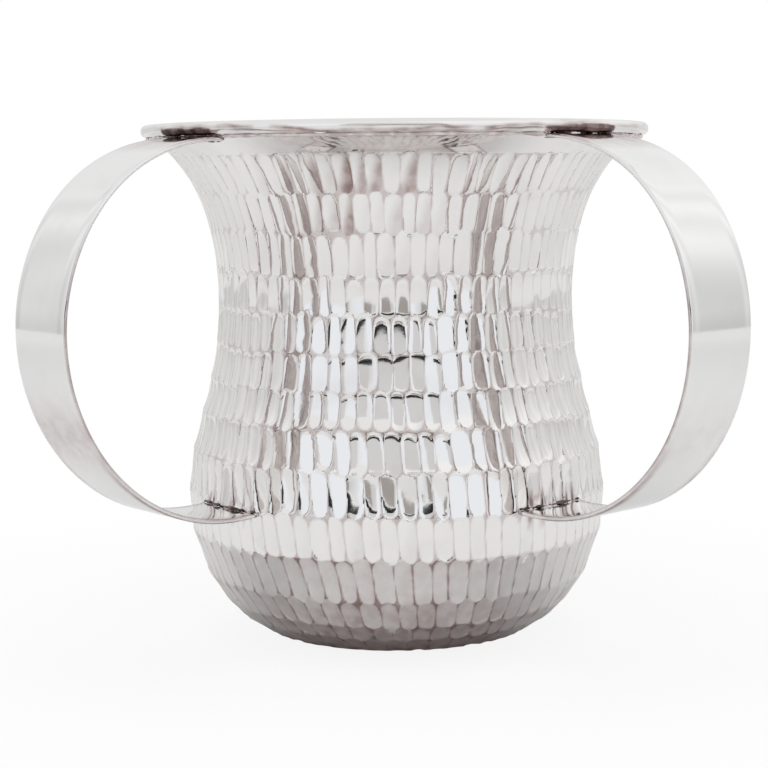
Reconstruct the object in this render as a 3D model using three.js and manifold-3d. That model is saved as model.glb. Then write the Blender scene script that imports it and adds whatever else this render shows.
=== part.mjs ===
import * as THREE from 'three';
import { mergeVertices } from 'three/addons/utils/BufferGeometryUtils.js';
import Module from 'manifold-3d';

// A washing cup raised from silver sheet, with two strap handles, in millimetres and +Z up.
// The origin is the centre of the flat underside. The handles come forward, towards -Y.

// Bowl: radii and heights of the outer skin, with the lengths of its curve handles
const sheetWall = 1;
const baseRadius = 24;
const baseRun = 15;
const bellyRadius = 52.3;
const bellyHeight = 35.8;
const bellyDrop = 20.2;
const bellyRise = 17.6;
const waistRadius = 44.2;
const waistHeight = 84.5;
const waistDrop = 21.4;
const waistRise = 19.7;
const lipRadius = 60.7;
const lipHeight = 124.2;
const lipRun = 11.7;
const lipSlope = THREE.MathUtils.degToRad(28);

// Hammer marks: rows of upright oblong dents, from the plain band under the rim down to the foot.
// Row edges are shares of the lip's height; marks lean with their feet towards +X at the front.
const rowEdgeShares = [
  0.966, 0.894, 0.82, 0.741, 0.669, 0.598, 0.528, 0.46, 0.386, 0.3, 0.22, 0.134, 0.081, 0.049, 0.018,
];
const marksInRow = [88, 84, 80, 76, 74, 74, 76, 78, 80, 78, 72, 65, 55, 46];
const rowLeans = [1, 1, 0, 0, 1, 1, 2, 4, 4, 4, 5, 5, 5, 5].map(THREE.MathUtils.degToRad);
const markDepth = 0.25;
const markBedShares = [0.3, 0.7];
const shortMarkBedShares = [0.5];
const shortMarkLength = 7;

// Rim wire: an oval wire that stands on the filed lip and hangs over its edge
const rimOverhang = 2;
const rimWireHeight = 3;
const rimWireDepth = 2.8;
const rimSolderLeg = 0.7;

// Handles: flat straps with softened edges, bent to a C and butted against the bowl
const strapWidth = 21.8;
const strapThickness = 1.05;
const strapEdgeRadius = 0.3;
const handleSpread = THREE.MathUtils.degToRad(95.6);
const reachHeight = 81;
const upperRun = 31;
const upperRise = 18.1;
const lowerDrop = 25.6;
const lowerRun = 19.4;
const upperEndDepth = 3.2;
const lowestRunOut = 11.2;
const lowerEndDepth = 2.3;
const lowerEndRise = 0.9;
const leftHandle = { reach: 100.8, upperDrop: 0, lowestAboveBelly: 1.5 };
const rightHandle = { reach: 99.5, upperDrop: 0.8, lowestAboveBelly: 2.4 };

// Joints: the gap that each soldered piece keeps to its seat, and the fillets of solder in the corners
const seatGap = 0.3;
const solderLeg = 0.9;
const solderSpill = 0.5;

// Mesh fineness
const mouthSegments = 56;
const insideSegments = 40;
const seatSegments = 80;
const rimSectionPoints = 10;
const insideCurveSteps = 5;
const curveSteps = 16;
const strapSteps = 30;
const edgeArcSteps = 1;
const weldTolerance = 1e-4;

// Worked out: the rim's outer radius, and where the uncut straps start, dip lowest and end
const rimRadius = lipRadius + rimOverhang;
const upperEndRadius = lipRadius - upperEndDepth;
const lowestRadius = bellyRadius + lowestRunOut;
const lowerEndRadius = bellyRadius - lowerEndDepth;

const manifold = await Module();
manifold.setup();

function welded(geometry) {
  geometry.deleteAttribute('normal');
  geometry.deleteAttribute('uv');
  const merged = mergeVertices(geometry, weldTolerance);
  const index = merged.index.array;
  const kept = [];
  for (let i = 0; i < index.length; i += 3) {
    const [a, b, c] = [index[i], index[i + 1], index[i + 2]];
    if (a !== b && b !== c && c !== a) {
      kept.push(a, b, c);
    }
  }
  merged.setIndex(kept);
  return merged;
}

function solidOf(geometry) {
  const mesh = welded(geometry);
  return new manifold.Manifold(new manifold.Mesh({
    numProp: 3,
    vertProperties: new Float32Array(mesh.attributes.position.array),
    triVerts: new Uint32Array(mesh.index.array),
  }));
}

function geometryOf(solid) {
  const mesh = solid.getMesh();
  const geometry = new THREE.BufferGeometry();
  geometry.setAttribute('position', new THREE.BufferAttribute(new Float32Array(mesh.vertProperties), 3));
  geometry.setIndex(new THREE.BufferAttribute(new Uint32Array(mesh.triVerts), 1));
  geometry.computeVertexNormals();
  return geometry;
}

// A profile of radius and height, turned about Z
function turned(profile, segments) {
  const geometry = new THREE.LatheGeometry(profile, segments);
  geometry.rotateX(Math.PI / 2);
  return welded(geometry);
}

// The outer skin runs from the flat base round the belly, in at the waist and out to the flared lip
function outerCurve() {
  const point = (radius, height) => new THREE.Vector2(radius, height);
  const belly = point(bellyRadius, bellyHeight);
  const waist = point(waistRadius, waistHeight);
  const lip = point(lipRadius, lipHeight);
  const lipHandle = point(lipRadius - lipRun * Math.cos(lipSlope), lipHeight - lipRun * Math.sin(lipSlope));
  return [
    new THREE.CubicBezierCurve(
      point(baseRadius, 0),
      point(baseRadius + baseRun, 0),
      point(bellyRadius, bellyHeight - bellyDrop),
      belly,
    ),
    new THREE.CubicBezierCurve(
      belly,
      point(bellyRadius, bellyHeight + bellyRise),
      point(waistRadius, waistHeight - waistDrop),
      waist,
    ),
    new THREE.CubicBezierCurve(waist, point(waistRadius, waistHeight + waistRise), lipHandle, lip),
  ];
}

// Points of the outer skin, moved sideways by a distance: positive outwards, negative into the sheet
function skin(offset, steps = curveSteps) {
  const points = [];
  for (const curve of outerCurve()) {
    for (let step = points.length ? 1 : 0; step <= steps; step += 1) {
      const along = curve.getTangent(step / steps);
      const spot = curve.getPoint(step / steps);
      points.push(new THREE.Vector2(spot.x + along.y * offset, spot.y - along.x * offset));
    }
  }
  return points;
}

function radiusAt(points, height) {
  const above = points.findIndex((point) => point.y > height);
  const low = points[above - 1];
  const high = points[above];
  return THREE.MathUtils.mapLinear(height, low.y, high.y, low.x, high.x);
}

// A level ring of vertices from an angle on, each of the given radii in turn
function levelRing(height, count, firstAngle, ...radii) {
  return Array.from({ length: count }, (_, i) => {
    const angle = firstAngle + i / count * 2 * Math.PI;
    const radius = radii[i % radii.length];
    return { angle, point: new THREE.Vector3(radius * Math.cos(angle), radius * Math.sin(angle), height) };
  });
}

// The angle halfway along a ring's edge, which starts at its vertex i
function edgeMiddle(ring, i) {
  if (i === ring.length) {
    return Infinity;
  }
  const end = i + 1 < ring.length ? ring[i + 1].angle : ring[0].angle + 2 * Math.PI;
  return (ring[i].angle + end) / 2;
}

// A closed skin over a chain of rings, from a first point to a last one. Rings may differ in count:
// the next triangle always takes up the edge, of the lower or the upper ring, whose middle comes first.
function stitched(firstPoint, rings, lastPoint) {
  const points = [firstPoint];
  const starts = [];
  for (const ring of rings) {
    starts.push(points.length);
    points.push(...ring.map((vertex) => vertex.point));
  }
  points.push(lastPoint);
  const at = (k, i) => starts[k] + i % rings[k].length;
  const last = rings.length - 1;
  const faces = [];
  for (let k = 0; k < last; k += 1) {
    let i = 0;
    let j = 0;
    while (i < rings[k].length || j < rings[k + 1].length) {
      if (edgeMiddle(rings[k], i) <= edgeMiddle(rings[k + 1], j)) {
        faces.push(at(k, i), at(k, i + 1), at(k + 1, j));
        i += 1;
      } else {
        faces.push(at(k, i), at(k + 1, j + 1), at(k + 1, j));
        j += 1;
      }
    }
  }
  rings[0].forEach((_, i) => faces.push(0, at(0, i + 1), at(0, i)));
  rings[last].forEach((_, i) => faces.push(at(last, i), at(last, i + 1), points.length - 1));
  const geometry = new THREE.BufferGeometry().setFromPoints(points);
  geometry.setIndex(faces);
  geometry.computeVertexNormals();
  return geometry;
}

// Every mark has a ridge on each side, which it shares with its neighbours, and a sunk bed between them.
// Its bed tapers to the row's edges, where the skin stays whole.
function hammeredRings() {
  const whole = skin(0);
  const sunk = skin(-markDepth);
  const rings = [];
  for (let row = marksInRow.length - 1; row >= 0; row -= 1) {
    const count = marksInRow[row];
    const low = rowEdgeShares[row + 1] * lipHeight;
    const high = rowEdgeShares[row] * lipHeight;
    const phase = (row % 2) * Math.PI / count;
    const firstAngle = (height) => {
      const fromMiddle = height - (low + high) / 2;
      return phase - Math.tan(rowLeans[row]) * fromMiddle / radiusAt(whole, height);
    };
    rings.push(levelRing(low, count, firstAngle(low), radiusAt(whole, low)));
    const bedShares = high - low < shortMarkLength ? shortMarkBedShares : markBedShares;
    for (const share of bedShares) {
      const height = THREE.MathUtils.lerp(low, high, share);
      const radii = [radiusAt(whole, height), radiusAt(sunk, height)];
      rings.push(levelRing(height, 2 * count, firstAngle(height), ...radii));
    }
  }
  const top = rowEdgeShares[0] * lipHeight;
  rings.push(levelRing(top, marksInRow[0], 0, radiusAt(whole, top)));
  return rings;
}

function bowl() {
  const whole = skin(0);
  const hammered = hammeredRings();
  const footCount = hammered[0].length;
  const footMiddle = rowEdgeShares[rowEdgeShares.length - 1] / 2 * lipHeight;
  const bandMiddle = (rowEdgeShares[0] + 1) / 2 * lipHeight;
  const inside = skin(-sheetWall, insideCurveSteps).filter((point) => point.y < lipHeight - sheetWall / 2);
  const rings = [
    levelRing(0, footCount, 0, baseRadius),
    levelRing(footMiddle, footCount, 0, radiusAt(whole, footMiddle)),
    ...hammered,
    levelRing(bandMiddle, mouthSegments, 0, radiusAt(whole, bandMiddle)),
    levelRing(lipHeight, mouthSegments, 0, lipRadius),
    levelRing(lipHeight, mouthSegments, 0, lipRadius - sheetWall / Math.sin(lipSlope)),
    ...inside.reverse().map((point) => levelRing(point.y, insideSegments, 0, point.x)),
  ];
  return stitched(new THREE.Vector3(0, 0, 0), rings, new THREE.Vector3(0, 0, sheetWall));
}

function rimWire() {
  const profile = [];
  const centreRadius = rimRadius - rimWireDepth / 2;
  const centreHeight = lipHeight + seatGap + rimWireHeight / 2;
  for (let i = 0; i <= rimSectionPoints; i += 1) {
    const angle = (i % rimSectionPoints) / rimSectionPoints * 2 * Math.PI;
    profile.push(new THREE.Vector2(
      centreRadius + Math.cos(angle) * rimWireDepth / 2,
      centreHeight + Math.sin(angle) * rimWireHeight / 2,
    ));
  }
  return turned(profile, mouthSegments);
}

// A block that reaches out from the axis along +X, swung round Z, and taller than the bowl
function radialBlock(width, swing) {
  const block = new THREE.BoxGeometry(rimRadius * 2, width, lipHeight * 2);
  block.translate(rimRadius, 0, lipHeight);
  block.rotateZ(swing);
  return solidOf(block);
}

// Solder drawn into the corner between the edge of the lip and the underside of the wire.
// The straps interrupt it, so it lies in a front arc and a back arc.
function rimSolder() {
  const inside = lipRadius + seatGap;
  const top = lipHeight;
  const profile = [
    new THREE.Vector2(inside, top - rimSolderLeg),
    new THREE.Vector2(inside + rimSolderLeg / 2, top - rimSolderLeg / 3),
    new THREE.Vector2(inside + rimSolderLeg, top),
    new THREE.Vector2(inside, top),
    new THREE.Vector2(inside, top - rimSolderLeg),
  ];
  const gap = strapWidth + 2 * seatGap;
  const ring = solidOf(turned(profile, mouthSegments))
    .subtract(radialBlock(gap, handleSwing(-1)))
    .subtract(radialBlock(gap, handleSwing(1)));
  const frontHalf = new THREE.BoxGeometry(rimRadius * 4, rimRadius * 2, lipHeight * 4);
  frontHalf.translate(0, -rimRadius * (1 + Math.cos(handleSpread / 2)), 0);
  const front = solidOf(frontHalf);
  return { front: geometryOf(ring.intersect(front)), back: geometryOf(ring.subtract(front)) };
}

// The bowl with its seat gap, as a closed solid that straps and solder are cut by
function bowlCutter() {
  const outer = skin(seatGap);
  const top = outer[outer.length - 1];
  const profile = [
    new THREE.Vector2(0, -seatGap),
    ...outer,
    new THREE.Vector2(top.x, lipHeight + rimWireHeight),
    new THREE.Vector2(0, lipHeight + rimWireHeight),
  ];
  return solidOf(turned(profile, seatSegments));
}

// Handles are drawn in the XZ plane, reaching along +X, and swung round to their places afterwards
function strapPath({ reach, upperDrop, lowestAboveBelly }) {
  const point = (radius, height) => new THREE.Vector3(radius, 0, height);
  const upperEnd = lipHeight - upperDrop;
  const lowestHeight = bellyHeight + lowestAboveBelly;
  const furthest = point(reach, reachHeight);
  const lowest = point(lowestRadius, lowestHeight);
  const path = new THREE.CurvePath();
  path.add(new THREE.CubicBezierCurve3(
    point(upperEndRadius, upperEnd),
    point(upperEndRadius + upperRun, upperEnd),
    point(reach, reachHeight + upperRise),
    furthest,
  ));
  path.add(new THREE.CubicBezierCurve3(
    furthest,
    point(reach, reachHeight - lowerDrop),
    point(lowestRadius + lowerRun, lowestHeight),
    lowest,
  ));
  path.add(new THREE.QuadraticBezierCurve3(
    lowest,
    point((lowestRadius + lowerEndRadius) / 2, lowestHeight),
    point(lowerEndRadius, lowestHeight + lowerEndRise),
  ));
  return path;
}

// The strap's section: its outer face lies on the path and its thickness goes to the inside of the C
function strapSection() {
  const half = strapWidth / 2 - strapEdgeRadius;
  const near = strapEdgeRadius;
  const far = strapThickness - strapEdgeRadius;
  const quarter = Math.PI / 2;
  const section = new THREE.Shape();
  section.absarc(half, near, strapEdgeRadius, -quarter, 0);
  section.absarc(half, far, strapEdgeRadius, 0, quarter);
  section.absarc(-half, far, strapEdgeRadius, quarter, 2 * quarter);
  section.absarc(-half, near, strapEdgeRadius, 2 * quarter, 3 * quarter);
  return section;
}

function strap(handle, cutter) {
  const swept = new THREE.ExtrudeGeometry(strapSection(), {
    steps: strapSteps,
    curveSegments: edgeArcSteps,
    extrudePath: strapPath(handle),
  });
  return geometryOf(solidOf(swept).subtract(cutter));
}

// A fillet of solder along the inside corner between bowl and strap, as wide as the strap and its spill
function solderFillet(height, side) {
  const seat = skin(seatGap);
  const corner = height + side * seatGap;
  const tip = corner + side * solderLeg;
  const cornerRadius = radiusAt(seat, corner);
  const tipRadius = radiusAt(seat, tip);
  const waistOfFillet = solderLeg / 3;
  const profile = [
    new THREE.Vector2(cornerRadius, corner),
    new THREE.Vector2(cornerRadius + solderLeg, corner),
    new THREE.Vector2(cornerRadius + waistOfFillet, corner + side * waistOfFillet),
    new THREE.Vector2(tipRadius, tip),
    new THREE.Vector2(cornerRadius, corner),
  ];
  if (side < 0) {
    profile.reverse();
  }
  const ring = solidOf(turned(profile, seatSegments));
  return geometryOf(ring.intersect(radialBlock(strapWidth + 2 * solderSpill, 0)));
}

// The left handle's turn is -1 and the right handle's is 1, each half the spread away from -Y
function handleSwing(turn) {
  return turn * handleSpread / 2 - Math.PI / 2;
}

function silver(colour, roughness) {
  return new THREE.MeshStandardMaterial({ color: colour, roughness, metalness: 1 });
}

const cup = new THREE.Group();

function place(name, geometry, material, parent) {
  const mesh = new THREE.Mesh(geometry, material);
  mesh.name = name;
  parent.add(mesh);
}

place('bowl', bowl(), silver(0xdad8d5, 0.12), cup);
place('rim_wire', rimWire(), silver(0xdedcd9, 0.1), cup);

const solderRuns = rimSolder();
place('front_rim_solder', solderRuns.front, silver(0xb9b2ad, 0.35), cup);
place('back_rim_solder', solderRuns.back, silver(0xb9b2ad, 0.35), cup);

const cutter = bowlCutter();
for (const [side, handle, turn] of [['left', leftHandle, -1], ['right', rightHandle, 1]]) {
  const swing = new THREE.Group();
  swing.rotation.z = handleSwing(turn);
  const upperUnderside = lipHeight - handle.upperDrop - strapThickness;
  const lowerTop = bellyHeight + handle.lowestAboveBelly + lowerEndRise + strapThickness;
  place(`${side}_handle`, strap(handle, cutter), silver(0xdcdad7, 0.1), swing);
  place(`${side}_upper_solder`, solderFillet(upperUnderside, -1), silver(0xa39c97, 0.4), swing);
  place(`${side}_lower_solder`, solderFillet(lowerTop, 1), silver(0xa39c97, 0.4), swing);
  cup.add(swing);
}

export default cup;
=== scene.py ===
import math

import bpy
import numpy as np
from mathutils import Matrix, Vector


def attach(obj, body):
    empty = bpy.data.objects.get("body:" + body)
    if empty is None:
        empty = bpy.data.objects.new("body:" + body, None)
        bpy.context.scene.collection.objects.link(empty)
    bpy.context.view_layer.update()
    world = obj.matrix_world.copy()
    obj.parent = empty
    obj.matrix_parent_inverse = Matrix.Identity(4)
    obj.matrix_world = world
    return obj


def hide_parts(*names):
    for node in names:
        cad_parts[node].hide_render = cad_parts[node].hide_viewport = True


# A two-handled silver washing cup, hammered in rows, with its handles towards -Y.
# The pieces are worked out in millimetres and made in metres; the camera and the studio are in metres.

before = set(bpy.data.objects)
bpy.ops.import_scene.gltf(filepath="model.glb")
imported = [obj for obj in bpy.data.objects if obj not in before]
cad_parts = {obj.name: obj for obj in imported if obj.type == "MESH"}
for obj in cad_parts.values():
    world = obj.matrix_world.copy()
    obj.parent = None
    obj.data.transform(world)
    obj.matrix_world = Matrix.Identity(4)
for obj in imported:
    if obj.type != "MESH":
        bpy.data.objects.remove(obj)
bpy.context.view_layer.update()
scene = bpy.context.scene
mm = 0.001
turn = 2 * math.pi
white = (1, 1, 1, 1)
leastWave = 0.4  # of a wandering line, against its largest

scene.view_settings.view_transform = "Standard"


# Mesh and curve helpers

def newObject(name, data):
    made = bpy.data.objects.new(name, data)
    scene.collection.objects.link(made)
    return made


def meshObject(name, points, faces, material):
    mesh = bpy.data.meshes.new(name)
    mesh.from_pydata(points, [], faces)
    mesh.update()
    mesh.materials.append(material)
    return newObject(name, mesh)


# dull is the tarnish and painted shade at each point of the rings, and a point that closes an end takes its
# ring's mean
def meshPiece(name, points, faces, material, replaced, dull=None):
    piece = meshObject(name, points.tolist(), faces, material)
    mesh = piece.data
    if dull is not None:
        ends = [dull[0].mean(keepdims=True), dull[-1].mean(keepdims=True)]
        values = np.concatenate([dull.ravel(), *ends])[:len(points)].astype(np.float32)
        mesh.attributes.new("tarnishAndShade", "FLOAT", "POINT").data.foreach_set("value", values)
    mesh.polygons.foreach_set("use_smooth", np.ones(len(mesh.polygons), bool))
    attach(piece, "root")
    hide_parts(*replaced)
    return piece


# rings[i, j] is step i along and step j around; quads join neighbours, and the mean point closes an open
# end. The signed volume, a sum of a . (b x c) / 6, tells whether the faces have to be turned outwards.
def sweptFaces(rings, closedAlong):
    along, around = rings.shape[:2]
    points = rings.reshape(-1, 3)
    index = np.arange(along * around).reshape(along, around)
    beside = np.roll(index, -1, axis=1)
    if closedAlong:
        quads = np.stack([index, beside, np.roll(beside, -1, 0), np.roll(index, -1, 0)], -1).reshape(-1, 4)
        fans = np.zeros((0, 3), int)
    else:
        quads = np.stack([index[:-1], beside[:-1], beside[1:], index[1:]], -1).reshape(-1, 4)
        first, last = len(points), len(points) + 1
        points = np.vstack([points, rings[0].mean(0), rings[-1].mean(0)])
        lowFan = np.stack([beside[0], index[0], np.full(around, first)], -1)
        highFan = np.stack([index[-1], beside[-1], np.full(around, last)], -1)
        fans = np.vstack([lowFan, highFan])
    triangles = np.vstack([quads[:, [0, 1, 2]], quads[:, [0, 2, 3]], fans])
    a, b, c = (points[triangles[:, k]] for k in range(3))
    if np.einsum("ij,ij->i", a, np.cross(b, c)).sum() < 0:
        quads, fans = quads[:, ::-1], fans[:, ::-1]
    return points, quads.tolist() + fans.tolist()


# B(t) = sum over k of C(n, k) t^k (1 - t)^(n - k) P_k
def bezier(controls, t):
    controls = np.array(controls, float)
    n = len(controls) - 1
    weights = [math.comb(n, k) * t ** k * (1 - t) ** (n - k) for k in range(n + 1)]
    return np.stack(weights, -1) @ controls


# Length along a chain of points, from 0
def lengthAlong(points):
    return np.concatenate([[0], np.cumsum(np.linalg.norm(np.diff(points, axis=0), axis=1))])


# v / |v|
def unitLength(vectors):
    return vectors / np.linalg.norm(vectors, axis=-1)[..., None]


# Directions along a chain of points: its slope over its length
def directions(points, length):
    return unitLength(np.gradient(points, length, axis=0))


# A random swing of usual size 1: sum of a_k sin(k x + p_k), k from low to high, with a_k falling as 1 / k
def wander(x, seed, waves):
    rng = np.random.default_rng(seed)
    low, high = waves
    k = np.arange(low, high + 1)
    phases = rng.uniform(0, turn, len(k))
    sizes = rng.uniform(leastWave, 1, len(k)) / k
    total = sum(a * np.sin(n * x + p) for n, a, p in zip(k, sizes, phases))
    return total / np.sqrt((sizes ** 2).sum() / 2)


# The nearest value from 0 to 1
def clip01(x):
    return np.clip(x, 0, 1)


# 0 up to low, 1 from high on, and straight between them
def ramp(x, low, high):
    return clip01((x - low) / (high - low))


# exp(-(x / span)^power), which is flatter on top for a higher power
def hump(x, span, power=2):
    return np.exp(-(x / span) ** power)


# Even angles once round
def roundAngles(count):
    return np.linspace(0, turn, count, endpoint=False)


# The angle of an azimuth from a middle one, from -pi to pi
def angleFrom(middle, azimuth):
    return (azimuth - middle + math.pi) % turn - math.pi


# Cylinder coordinates to points: (r sin A, -r cos A, z), with the azimuth A from -Y
def aroundAxis(radius, azimuth, height):
    radius, azimuth, height = np.broadcast_arrays(radius, azimuth, height)
    return np.stack([radius * np.sin(azimuth), -radius * np.cos(azimuth), height], -1)


# Shader helpers

class Value:
    # A node's output socket. Sums on values add Math nodes, and node() adds any other node.
    def __init__(self, tree, socket=None):
        self.tree = tree
        self.socket = socket

    def node(self, kind, settings=None, inputs=None, out=0):
        made = self.tree.nodes.new(kind)
        for key, value in (settings or {}).items():
            setattr(made, key, value)
        for key, value in (inputs or {}).items():
            if isinstance(value, Value):
                self.tree.links.new(value.socket, made.inputs[key])
            else:
                made.inputs[key].default_value = value
        return Value(self.tree, made.outputs[out] if made.outputs else None)

    def math(self, operation, a, b=0.0):
        return self.node("ShaderNodeMath", {"operation": operation}, {0: a, 1: b})

    def __add__(self, other):
        return self.math("ADD", self, other)

    def __radd__(self, other):
        return self.math("ADD", other, self)

    def __sub__(self, other):
        return self.math("SUBTRACT", self, other)

    def __rsub__(self, other):
        return self.math("SUBTRACT", other, self)

    def __mul__(self, other):
        return self.math("MULTIPLY", self, other)

    def __rmul__(self, other):
        return self.math("MULTIPLY", other, self)

    def split(self):
        made = self.node("ShaderNodeSeparateXYZ", None, {0: self}).socket.node
        return [Value(self.tree, made.outputs[k]) for k in range(3)]

    def size(self):
        return self.math("ABSOLUTE", self)

    def sine(self):
        return self.math("SINE", self)

    def clamped(self):
        return self.node("ShaderNodeClamp", None, {"Value": self})

    # 0 below low and 1 above high, with a soft step between
    def step(self, low, high):
        return self.node(
            "ShaderNodeMapRange",
            {"interpolation_type": "SMOOTHSTEP"},
            {"Value": self, "From Min": low, "From Max": high},
        )

    # 1 between two soft steps
    def between(self, start, end):
        return self.step(*start) * (1 - self.step(*end))

    # From this value to another by a factor
    def towards(self, other, factor):
        return self + (other - self) * factor

    def mix(self, factor, a, b):
        return self.node("ShaderNodeMix", {"data_type": "RGBA"}, {0: factor, 6: a, 7: b}, 2)

    def mixShaders(self, factor, a, b):
        return self.node("ShaderNodeMixShader", None, {0: factor, 1: a, 2: b})

    def glow(self, colour, strength):
        return self.node("ShaderNodeEmission", None, {"Color": colour, "Strength": strength})

    # This place's noise, from 0 to 1
    def noise(self, scale, detail):
        inputs = {"Vector": self, "Scale": scale, "Detail": detail}
        return self.node("ShaderNodeTexNoise", None, inputs, "Fac")


# A material, the value that its nodes start from, and its place on the object
def newMaterial(name):
    material = bpy.data.materials.new(name)
    material.use_nodes = True
    tree = material.node_tree
    tree.nodes.clear()
    start = Value(tree)
    place = start.node("ShaderNodeTexCoord", out="Object")
    return material, start, place


def finishMaterial(start, shader):
    start.node("ShaderNodeOutputMaterial", None, {"Surface": shader})


# 1 where the ray is of one of these kinds
def rayIs(tree, *kinds):
    path = tree.nodes.new("ShaderNodeLightPath")
    total = Value(tree, path.outputs[kinds[0]])
    for kind in kinds[1:]:
        total = total + Value(tree, path.outputs[kind])
    return total.clamped()


# Camera: at the photograph's place, a little turned about its own line of sight

view = dict(
    place=(0.02465, -0.4794, 0.1160),
    heading=3.3,  # degrees to the left of +Y
    dip=6.35,  # degrees below the horizon
    roll=-0.41,  # degrees
    lens=89.6,
    sensor=36,
)


# Ahead from the heading and the dip, and right and up turned about it by the roll
def makeCamera():
    heading, dip, roll = (math.radians(view[k]) for k in ("heading", "dip", "roll"))
    ahead = Vector((-math.sin(heading) * math.cos(dip), math.cos(heading) * math.cos(dip), -math.sin(dip)))
    right = Vector((math.cos(heading), math.sin(heading), 0))
    up = right.cross(ahead)
    rolledRight = right * math.cos(roll) + up * math.sin(roll)
    rolledUp = up * math.cos(roll) - right * math.sin(roll)
    turned = Matrix((rolledRight, rolledUp, -ahead)).transposed().to_4x4()
    lensData = bpy.data.cameras.new("camera")
    lensData.lens = view["lens"]
    lensData.sensor_width = view["sensor"]
    scene.camera = newObject("camera", lensData)
    scene.camera.matrix_world = Matrix.Translation(view["place"]) @ turned


makeCamera()
print("camera made")


# Studio: a pale floor, white all round, and the darker side of the room where the camera stands

studio = dict(
    skyLevel=0.45,  # what lights matt surfaces from all round
    floorColour=0.9, floorHalf=6.0,
    shadowShown=0.11,  # share of the real floor in what the camera sees next to the cup
    shadowReach=(0.08, 0.22),
    farFloor=(0.25, 0.8),  # beyond the lamp's reach metal sees the floor evenly bright
    farLevel=0.80,
    lampSize=0.9, lampHeight=1.0, lampPower=5.8, lampForward=0.15,
    cardAzimuth=2.9,  # degrees to the right of -Y
)

# Upright cards behind the camera, the nearest last
cards = dict(
    grey=dict(distance=1.22, halfWidth=0.50, low=0.110, high=0.86, level=0.66, soft=0.05),
    low=dict(
        distance=1.21, halfWidth=0.28, low=0.0, high=0.112, level=0.36, soft=0.006,
        tint=(1, 0.94, 0.89),
    ),
    white=dict(distance=1.205, halfWidth=0.50, low=0.106, high=0.130, level=0.95, soft=0.004),
    black=dict(distance=1.20, halfWidth=0.56, low=0.124, high=0.225, level=0.015, soft=0.006),
)

# Heights are shares of the tent's radius, azimuths are in radians from the front to either side, and a
# pair is where a soft step starts and ends
tent = dict(
    radius=1.3, sides=64, peak=1.2, peakRadius=0.01,
    level=0.83,  # the walls behind and beside the cup
    rightMore=0.10, rightStep=(0.0, 0.6),  # how much brighter to the right, over x in metres
    rightLow=0.1,  # share of that low down
    lowLevel=0.61, lowStep=(0.0, 0.13),  # their foot
    middleLevel=0.70, middleStep=(0.16, 0.62),
    wave=0.05, waves=28, waveFrom=(1.2, 1.4), waveTo=(2.2, 2.4),  # soft upright bands at the sides
    backStep=(2.0, 2.9), backShare=0.5,  # the back is nearer to one level
    # a seam in the wall behind, in metres
    seamHeight=1.20, seamRise=0.13, seamSwing=0.03, seamWaves=9.0, seamStep=(0.0064, 0.016),
    seamLevel=-0.22, seamFrom=(1.9, 2.1),
    lidLevel=0.80, lidStep=(1.0, 1.12),
    boxLevel=0.93, boxTint=(0.925, 0.955, 1.0),
    boxFrom=(0.23, 0.43), boxTo=(1.00, 1.20), boxFoot=(-0.05, -0.01), boxTop=(0.52, 0.62),
)


# White to camera, glossy and clear rays, and skyLevel to matt surfaces
def makeWorld():
    world = bpy.data.worlds.new("studio")
    scene.world = world
    world.use_nodes = True
    tree = world.node_tree
    tree.nodes.clear()
    start = Value(tree)
    seen = rayIs(tree, "Is Camera Ray", "Is Glossy Ray", "Is Transmission Ray")
    matt = start.node("ShaderNodeBackground", None, {"Strength": studio["skyLevel"], "Color": white})
    shown = start.node("ShaderNodeBackground", None, {"Strength": 1.0, "Color": white})
    start.node("ShaderNodeOutputWorld", None, {"Surface": start.mixShaders(seen, matt, shown)})


def stagePiece(name, points, faces, material):
    made = meshObject(name, points, faces, material)
    return made


# Only metal sees these pieces
def metalOnly(made):
    made.visible_camera = False
    made.visible_diffuse = False
    made.visible_shadow = False
    made.visible_volume_scatter = False


# The camera sees the floor white, but for a share of its shadow near the cup
def makeFloor():
    material, start, place = newMaterial("floor_white")
    pale = studio["floorColour"]
    matt = start.node("ShaderNodeBsdfDiffuse", None, {"Color": (pale, pale, pale, 1)})
    away = start.node("ShaderNodeVectorMath", {"operation": "LENGTH"}, {0: place}, "Value")
    plain = away.step(*studio["shadowReach"]) * studio["shadowShown"] + (1 - studio["shadowShown"])
    far = away.step(*studio["farFloor"]) * rayIs(material.node_tree, "Is Glossy Ray")
    floor = start.mixShaders(far, matt, start.glow(white, studio["farLevel"]))
    camera = rayIs(material.node_tree, "Is Camera Ray")
    finishMaterial(start, start.mixShaders(camera * plain, floor, start.glow(white, 1.0)))
    half = studio["floorHalf"]
    corners = [(-half, -half, 0), (half, -half, 0), (half, half, 0), (-half, half, 0)]
    stagePiece("floor", corners, [(0, 1, 2, 3)], material)


# A card stands upright across the camera's side
def makeCard(name, card):
    material, start, place = newMaterial(name)
    across, _, height = place.split()
    half, low, high, soft = (card[k] for k in ("halfWidth", "low", "high", "soft"))
    shown = 1 - across.size().step(half - soft, half)
    shown = shown * (1 - height.step(high - soft, high))
    if low > 0:
        shown = shown * height.step(low, low + soft)
    clear = start.node("ShaderNodeBsdfTransparent")
    glow = start.glow((*card.get("tint", (1, 1, 1)), 1), card["level"])
    finishMaterial(start, start.mixShaders(shown, clear, glow))
    corners = [(-half, 0, low), (half, 0, low), (half, 0, high), (-half, 0, high)]
    made = stagePiece(name, corners, [(0, 1, 2, 3)], material)
    angle = math.radians(studio["cardAzimuth"])
    made.location = (math.sin(angle) * card["distance"], -math.cos(angle) * card["distance"], 0)
    made.rotation_euler = (0, 0, angle)
    metalOnly(made)


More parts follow.
